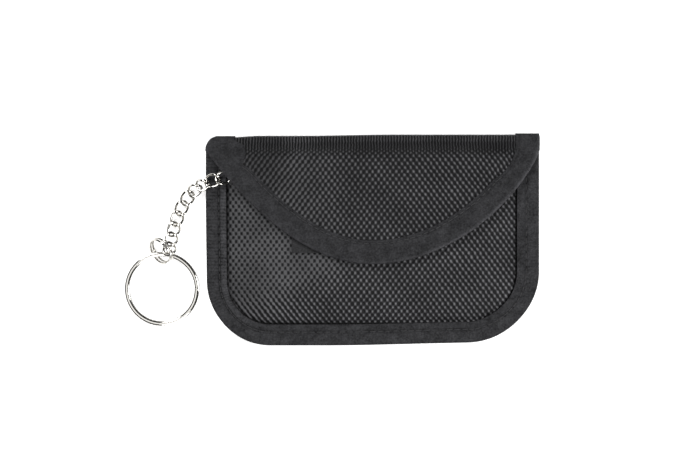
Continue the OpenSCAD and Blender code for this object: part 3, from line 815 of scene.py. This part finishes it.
def stitch_row(name, heights, line, body):
    """Lockstitches along a tape, line in from its edge. Each station comes with the tape's height there."""
    places = []
    next_at = heights[0][0][4] + STITCH_PITCH / 2
    for (a, low), (b, high) in zip(heights, heights[1:]):
        start = (a[0] + a[2] * line, a[1] + a[3] * line)
        end = (b[0] + b[2] * line, b[1] + b[3] * line)
        heading = math.atan2(end[1] - start[1], end[0] - start[0])
        while next_at < b[4]:
            t = (next_at - a[4]) / (b[4] - a[4])
            x, y = settle(mix(start[0], end[0], t), mix(start[1], end[1], t))
            spot = Vector((x, y, mix(low, high, t) - STITCH_SUNK)) * MM
            places.append(Matrix.Translation(spot) @ Matrix.Rotation(heading, 4, "Z"))
            next_at += STITCH_PITCH
    piece = join_copies(name, stitch_model(name), places)
    return finish_piece(piece, body, THREAD, "sewing_thread")


def straight_tape(name, edge_y, width, thickness, under, over, node):
    """Tape folded over the straight top edge of a wall, from one side tape to the other."""
    reach = HALF_W - EDGE_TAPE_W - 0.4
    steps = 110
    stations = measured([(mix(-reach, reach, i / steps), edge_y, 0, -1) for i in range(steps + 1)])

    def section(station):
        x = station[0]
        off = thickness / 2 + LAY_GAP
        top, bottom = over(x, edge_y), under(x, edge_y)
        half = (top - bottom) / 2 + thickness / 2
        points = [(s, over(x, edge_y - s) + off) for s in (width * k / 5 for k in (5, 4, 3, 2, 1))]
        points.append((0.3, over(x, edge_y - 0.3) + off))
        for degrees in (45, 0, -45):
            a = math.radians(degrees)
            points.append((-0.3 * math.cos(a), (top + bottom) / 2 + half * math.sin(a)))
        points += [(s, under(x, edge_y - s) - off) for s in (0.3, width / 2, width)]
        return points

    return tape_strip(name, stations, section, lay_flat, plain_look, thickness, EDGE_TAPE, "pouch", node)


def make_mouth_tapes():
    straight_tape("mouth_tape", MOUTH_Y, MOUTH_TAPE_W, TAPE_T, lambda x, y: front_z(x, y) - CLOTH_T, front_z,
                  "mouth_binding")
    straight_tape("divider_tape", DIVIDER_Y, DIVIDER_TAPE_W, TAPE_T / 2, divider_z,
                  lambda x, y: divider_z(x, y) + DIVIDER_T, "divider_binding")


# Flap
def flap_layer(name, lift, thickness, material, slot, nodes, fineness=1.0):
    """One layer of the flap, from inside its bowed edge to the middle of the fold."""
    columns = int(COLUMNS * fineness)
    flat_rows = int(FLAP_ROWS * fineness)
    rows = flat_rows + ARC_ROWS
    reach = HALF_W - CLOTH_EDGE
    top = lift + thickness

    def place(u, v):
        row = v * rows
        x = mix(-reach, reach, u)
        if row > flat_rows + 0.5:
            y, z = fold_point(90 * (1 - (row - flat_rows) / ARC_ROWS), top - CLOTH_T / 2)
            return *settle(x, y), z
        y = mix(flap_edge_y(x) + CLOTH_EDGE, HINGE_Y, row / flat_rows)
        return *settle(x, y), flap_z(x, y) + top

    piece = grid(name, columns, rows, place)
    lay_cloth(piece, columns, flap_look, rolling)
    use(piece, "SOLIDIFY", thickness=thickness * MM, offset=-1)
    smooth_shade(piece)
    return finish_piece(piece, "flap", material, slot, *nodes, into="fold", across=FLAP_BEND)


def flap_tape_width(x, y):
    """How wide the flap's tape shows: wider where it turns up to the fold at the left end."""
    near_fold = smooth((y - 28) / 8.5) * (1 - 0.7 * smooth((y - 38) / 3))
    return mix(FLAP_TAPE_W, FLAP_END_W, near_fold if x < 0 else 0)


def flap_end(side):
    """Spots from the fold's middle round to its foot, then down to where the flap's bow starts: x, y,
    inward x, inward y, width, angle round the fold."""
    x = side * HALF_W
    spots = [(x, HINGE_Y, -side, 0, flap_tape_width(x, HINGE_Y), angle) for angle in range(0, 90, 15)]
    steps = 6
    for i in range(steps):
        y = mix(HINGE_Y, FLAP_END_Y, i / steps)
        spots.append((x, y, -side, 0, flap_tape_width(x, y), None))
    return spots


def flap_path(count):
    """Stations down the left end of the flap, along its bow and up the right end: x, y, inward x, inward y,
    length so far, width, angle round the fold."""
    spots = flap_end(-1)
    for i in range(count + 1):
        x = math.sin(math.radians(mix(-90, 90, i / count))) * (HALF_W - 0.01)
        y = flap_edge_y(x)
        spots.append((x, y, *bow_inward(x), flap_tape_width(x, y), None))
    spots += reversed(flap_end(1))
    return measured(spots, least=0.5)


def bow_inward(x):
    """Square to the flap's bowed edge, but level at the flap's two ends."""
    step = 0.2
    ax, bx = clamp(x - step, -HALF_W, HALF_W), clamp(x + step, -HALF_W, HALF_W)
    run = Vector((bx - ax, flap_edge_y(bx) - flap_edge_y(ax))).normalized()
    level = smooth((abs(x) - 53) / 12)
    inward = Vector((-run.y, run.x)) * (1 - level) + Vector((-math.copysign(1, x), 0)) * level
    return tuple(inward.normalized())


def flap_section(station):
    """Tape over the flap, round its edge and along the underside, as (in, out from the cloth's middle)."""
    along, width = station[4:6]
    wider = width / FLAP_TAPE_W
    surface = CLOTH_T / 2 + TAPE_T / 2
    off = surface + LAY_GAP
    points = []
    for s in (9.5, 9.1, 8.8, 8.5, 8.2, 7.9, 7.4, 6.8, 6, 5, 4, 3, 2, 1.4, 0.9):
        points.append((s * wider, off - groove(s, along, FLAP_STITCH_IN)))
    for degrees in (60, 30, 0, -30, -60):
        a = math.radians(degrees)
        points.append((0.85 - 0.6 * math.cos(a), surface * math.sin(a)))
    points += [(s * wider, -off) for s in (0.9, 2, 4, 6, 7.6, 8.2, 8.8, 9.5)]
    return points


def lay_flap(station, inward, out):
    """A point of the flap's tape, on the flap or round the fold."""
    x = station[0] + station[2] * inward
    if station[6] is not None:
        y, z = fold_point(station[6], out)
        return *settle(x, y), z
    y = station[1] + station[3] * inward
    return *settle(x, y), flap_z(x, y) + CLOTH_T / 2 + out


def flap_tape_look(station, inward):
    """Nearly smooth, with painted shade along a faint stitch line and a pale worn edge."""
    worn = mix(0.3, 0.9, smooth(station[0] / 40)) * line_at(inward, 0.5, 0.5)
    return 0.1, 0.45 * line_at(inward, FLAP_STITCH_IN, 0.35), worn


def make_flap():
    flap_layer("flap_lining_cloth", 0, LINING_T, LINING, "lining", ["flap_lining", "fold_lining"], 0.5)
    flap_layer("flap_shield_cloth", LINING_T, SHIELD_T, SHIELD, "shield_cloth", ["flap_shield"], 0.5)
    flap_layer("flap_cloth", LINING_T + SHIELD_T, NYLON_T, NYLON, "ballistic_nylon",
               ["flap_panel", "fold_panel"], 2)
    stations = flap_path(170)
    tape_strip("flap_tape", stations, flap_section, lay_flap, flap_tape_look, TAPE_T, FLAP_TAPE, "flap",
               "flap_binding", "fold_binding_left", "fold_binding_right", into="fold", across=FLAP_BEND)
    heights = []
    for station in stations:
        x, y, dx, dy = station[:4]
        if abs(x) < 60:
            under = flap_z(x + dx * FLAP_STITCH_IN, y + dy * FLAP_STITCH_IN)
            heights.append((station, under + CLOTH_T + TAPE_T))
    stitch_row("flap_stitching", heights, FLAP_STITCH_IN, "flap")


# Fold: its tapes carry on under the back
def make_fold_ends():
    off = CLOTH_T / 2 + TAPE_T / 2 + LAY_GAP
    steps = 12

    def section(station):
        return [(station[5] * i / steps, off) for i in range(steps + 1)]

    def lay(station, inward, out):
        x = station[0] + station[2] * inward
        if station[6] is None:
            return *settle(x, station[1]), back_z(x, station[1]) + CLOTH_T / 2 - out
        y, z = fold_point(station[6], out)
        return *settle(x, y), z

    for side, name, width in ((-1, "left", FLAP_TAPE_W + 1.8), (1, "right", FLAP_TAPE_W)):
        x = side * HALF_W
        stations = [(x, HINGE_Y, -side, 0, angle / 25, width, angle) for angle in range(0, -90, -10)]
        for i in range(9):
            stations.append((x, HINGE_Y - i * 0.5, -side, 0, 3.6 + i * 0.5, width, None))
        tape_strip(f"fold_tape_{name}", stations, section, lay, plain_look, TAPE_T, FLAP_TAPE, "pouch",
                   f"fold_binding_{name}", into="fold", across=BACK_BEND)


# Touch fastener
def fastener_pad(name, strip, top, thickness, material, slot, node, body, up):
    middle, width, height, low_y = strip

    def place(u, v):
        x = middle + mix(-width / 2, width / 2, u)
        y = mix(low_y, low_y + height, v)
        return *settle(x, y), top(x, y)

    piece = grid(name, int(width), int(height), place)
    use(piece, "SOLIDIFY", thickness=thickness * MM, offset=-1 if up else 1)
    turn_out(piece)
    use(piece, "BEVEL", width=0.15 * MM, segments=2, limit_method="ANGLE")
    smooth_shade(piece)
    return finish_piece(piece, body, material, slot, node)


def make_fastener():
    fastener_pad("loop_pad", LOOP_STRIP, lambda x, y: front_z(x, y) + LOOP_T, LOOP_PAD_T, LOOP_PILE,
                 "loop_tape", "loop_strip", "pouch", True)
    fastener_pad("hook_pad", HOOK_STRIP, lambda x, y: flap_z(x, y) - HOOK_PAD_DROP, HOOK_PAD_T, HOOK_TAPE,
                 "hook_tape", "hook_strip", "flap", False)


# Chain tab
def make_tab():
    """A narrow ribbon, sewn to the front, whose end is turned back round the chain's first link."""
    y = CHAIN_START.y
    eye_x = CHAIN_START.x + LINK_HALF_L - CHAIN_PITCH / 2
    points = [(eye_x + i, front_z(eye_x + i, y) + 0.3) for i in range(8, 0, -1)]
    for degrees in range(-60, -400, -20):
        a = math.radians(degrees)
        points.append((eye_x + TAB_EYE_R * math.cos(a), CHAIN_START.z + TAB_EYE_R * math.sin(a)))

    def place(u, v):
        x, z = points[min(int(round(u * (len(points) - 1))), len(points) - 1)]
        return x, y + mix(-TAB_W / 2, TAB_W / 2, v), z

    piece = grid("tab_ribbon", len(points) - 1, 4, place)
    keep(piece, "tape_mm", [(p.co.x / MM, p.co.y / MM, 0) for p in piece.data.vertices])
    keep(piece, "tape_look", [(0.3, 0, 0) for _ in piece.data.vertices])
    use(piece, "SOLIDIFY", thickness=TAB_T * MM, offset=0)
    turn_out(piece)
    smooth_shade(piece, 60)
    finish_piece(piece, "pouch", EDGE_TAPE, "binding_tape", "chain_tab")


# Chain and rings
def direction(i):
    heading = math.radians(LINK_HEADING[i])
    rise = math.radians(LINK_RISE[i])
    return Vector((math.cos(rise) * math.cos(heading), math.cos(rise) * math.sin(heading), math.sin(rise)))


def hook_point(i):
    point = CHAIN_START.copy()
    for k in range(i):
        point += CHAIN_PITCH * direction(k)
    return point


def make_link(i):
    """A curb link: an oval of round wire, twisted so that it lies flat in its neighbours."""
    forward = direction(i)
    heading = math.radians(LINK_HEADING[i])
    roll = math.radians(LINK_ROLL[i])
    level = Vector((-math.sin(heading), math.cos(heading), 0))
    side = math.cos(roll) * level + math.sin(roll) * forward.cross(level)
    up = forward.cross(side)
    middle = hook_point(i) + forward * CHAIN_PITCH / 2

    def curve(t):
        oval = LINK_HALF_L * math.cos(t) * forward + LINK_HALF_W * math.sin(t) * side
        return middle + oval + LINK_TWIST[i] * math.sin(2 * t) * up

    turns = 48
    sides = 14
    near = 0.02
    deselect()
    bpy.ops.mesh.primitive_torus_add(major_segments=turns, minor_segments=sides)
    link = bpy.context.object
    link.name = f"curb_link_{i + 1:02d}"
    for k, vertex in enumerate(link.data.vertices):
        t = 2 * math.pi * (k // sides) / turns
        a = 2 * math.pi * (k % sides) / sides
        along = (curve(t + near) - curve(t - near)).normalized()
        out = along.cross(up).normalized()
        rise = out.cross(along)
        vertex.co = (curve(t) + (out * math.cos(a) + rise * math.sin(a)) * CHAIN_WIRE / 2) * MM
    turn_out(link)
    smooth_shade(link, 80)
    finish_piece(link, f"link_{i + 1:02d}", NICKEL, "nickel_plate", f"chain_link_{i + 1:02d}")


def make_links():
    for i in range(len(LINK_HEADING)):
        make_link(i)


def coil(name, centre, a, b, radius, step, wide, tall):
    """Two turns of wire: a section drawn round, wound up by a screw, then stood in its place."""
    deselect()
    bpy.ops.mesh.primitive_circle_add(vertices=20, radius=1, fill_type="NGON")
    piece = bpy.context.object
    piece.name = name
    for vertex in piece.data.vertices:
        x, z = vertex.co.xy
        vertex.co = Vector((radius + x * wide / 2, 0, z * tall / 2 - step)) * MM
    use(piece, "SCREW", axis="Z", angle=4 * math.pi, screw_offset=2 * step * MM, steps=192, render_steps=192,
        use_merge_vertices=False)
    cap_ends(piece)
    stance = Matrix((a, b, a.cross(b))).transposed().to_4x4()
    piece.data.transform(Matrix.Translation(centre * MM) @ stance)
    turn_out(piece)
    use(piece, "BEVEL", width=0.12 * MM, segments=2, limit_method="ANGLE", angle_limit=math.radians(60))
    smooth_shade(piece, 50)
    return piece


def cap_ends(piece):
    """Closes the two cut ends of the wire."""
    select_only(piece)
    bpy.ops.object.mode_set(mode="EDIT")
    bpy.ops.mesh.select_all(action="SELECT")
    bpy.ops.mesh.remove_doubles(threshold=0.0001 * MM)
    bpy.ops.mesh.select_all(action="DESELECT")
    bpy.ops.mesh.select_non_manifold()
    bpy.ops.mesh.fill_holes(sides=0)
    bpy.ops.object.mode_set(mode="OBJECT")


def make_small_ring():
    """The small split ring, which hangs on the last link. Returns its centre and the two directions across
    it."""
    heading = math.radians(CONNECTOR_HEADING)
    tilt = math.radians(CONNECTOR_TILT)
    hold = math.radians(CONNECTOR_HOLD)
    a = Vector((math.cos(heading), math.sin(heading), 0))
    b = Vector((-math.sin(heading) * math.cos(tilt), math.cos(heading) * math.cos(tilt), math.sin(tilt)))
    last = len(LINK_HEADING)
    hook = hook_point(last) - CONNECTOR_SLACK * direction(last - 1)
    centre = hook - CONNECTOR_R * (math.cos(hold) * a + math.sin(hold) * b)
    ring = coil("small_split_ring", centre, a, b, CONNECTOR_R, CONNECTOR_STEP, CONNECTOR_WIRE, CONNECTOR_WIRE)
    finish_piece(ring, "connector", NICKEL, "nickel_plate", "connector_ring")
    return centre, a, b


def make_large_ring(centre, a, b):
    """The large split ring, leaning from the small one down to the table."""
    wide, tall = KEY_WIRE
    top = centre + KEY_HOLD * b + KEY_SIDE * a
    lean = math.asin((top.z - (KEY_STEP + tall) / 2 - KEY_FLOOR_GAP) / (2 * KEY_R))
    turn = math.radians(KEY_TANGENT)
    along = Vector((math.cos(turn), math.sin(turn), 0))
    down = Vector((math.sin(turn) * math.cos(lean), -math.cos(turn) * math.cos(lean), -math.sin(lean)))
    ring = coil("large_split_ring", top + KEY_R * down, along, -down, KEY_R, KEY_STEP, wide,
                KEY_DRAWN * tall)
    finish_piece(ring, "key_ring", NICKEL, "nickel_plate", "key_ring")


# Stage
def make_floor():
    """Plain white sheet under the object: white to the camera and in the metal, and it keeps the soft
    shadow."""
    deselect()
    bpy.ops.mesh.primitive_plane_add(size=6, location=(0, 0, -0.0001))
    floor = bpy.context.object
    floor.name = "floor"
    material = bpy.data.materials.new("white_floor")
    material.use_nodes = True
    tree = material.node_tree
    tree.nodes.clear()
    rays = add(tree, "ShaderNodeLightPath").outputs
    camera_ray = rays["Is Camera Ray"]
    glossy_ray = rays["Is Glossy Ray"]
    transmitted_ray = rays["Is Transmission Ray"]
    seen = add(tree, "ShaderNodeMath", {0: camera_ray, 1: glossy_ray}, operation="MAXIMUM")
    seen = add(tree, "ShaderNodeMath", {0: seen, 1: transmitted_ray}, operation="MAXIMUM")
    strength = add(tree, "ShaderNodeMath", {0: seen, 1: 0.45}, operation="MULTIPLY")
    sheet = add(tree, "ShaderNodeBsdfDiffuse", {"Color": linear("#f4f4f4")})
    glow = add(tree, "ShaderNodeEmission", {"Color": (1, 1, 1, 1), "Strength": strength})
    both = add(tree, "ShaderNodeAddShader", {0: sheet, 1: glow})
    add(tree, "ShaderNodeOutputMaterial", {"Surface": both})
    floor.data.materials.append(material)


def make_world():
    """A small bright panel nearly overhead in a dark room, which the polished wire mirrors."""
    world = bpy.data.worlds.new("studio")
    world.use_nodes = True
    tree = world.node_tree
    looking = add(tree, "ShaderNodeTexCoord").outputs["Generated"]
    panel_at = Vector((-0.22, -0.18, 0.96)).normalized()
    facing = add(tree, "ShaderNodeVectorMath", {0: looking, 1: panel_at}, operation="DOT_PRODUCT")
    panel = add(tree, "ShaderNodeMapRange", {0: facing.outputs["Value"], 1: 0.94, 2: 0.975, 3: 0.03, 4: 1.6})
    grey = add(tree, "ShaderNodeCombineColor", {0: panel, 1: panel, 2: panel})
    background = tree.nodes["Background"]
    tree.links.new(grey.outputs[0], background.inputs["Color"])
    background.inputs["Strength"].default_value = 1.0
    bpy.context.scene.world = world


def make_lamp(name, place, size, watts):
    """A soft square lamp that faces the object."""
    deselect()
    bpy.ops.object.light_add(type="AREA", location=place)
    lamp = bpy.context.object
    lamp.name = name
    lamp.data.size = size
    lamp.data.energy = watts
    lamp.rotation_mode = "QUATERNION"
    lamp.rotation_quaternion = Vector(place).to_track_quat("Z", "Y")


def make_lights():
    make_world()
    make_lamp("lamp_top_left", (-0.45, 0.55, 0.8), 0.4, 8)
    make_lamp("lamp_right", (0.7, -0.1, 0.7), 0.35, 6)
    make_lamp("lamp_front", (0.0, -0.7, 0.8), 0.4, 5)


def make_camera():
    """Straight above, as in the photograph, whose middle is a little to the left of and above the pouch's
    centre."""
    mm_per_pixel = 0.403
    picture_w, picture_h = 700, 465
    pouch_x, pouch_y = 372.5, 240.5
    pouch_z = 5
    lens = 100
    sensor_w = 36
    distance = picture_w * mm_per_pixel * lens / sensor_w
    x = (picture_w / 2 - pouch_x) * mm_per_pixel
    y = (pouch_y - picture_h / 2) * mm_per_pixel
    deselect()
    bpy.ops.object.camera_add()
    camera = bpy.context.object
    camera.data.lens = lens
    camera.data.clip_start = 0.01
    camera.location = Vector((x, y, pouch_z + distance)) * MM
    bpy.context.scene.camera = camera


bpy.context.scene.view_settings.view_transform = "Standard"
make_back()
make_divider()
make_front()
make_edge_tape()
make_mouth_tapes()
make_flap()
make_fold_ends()
make_fastener()
make_tab()
make_links()
make_large_ring(*make_small_ring())
make_floor()
make_lights()
make_camera()
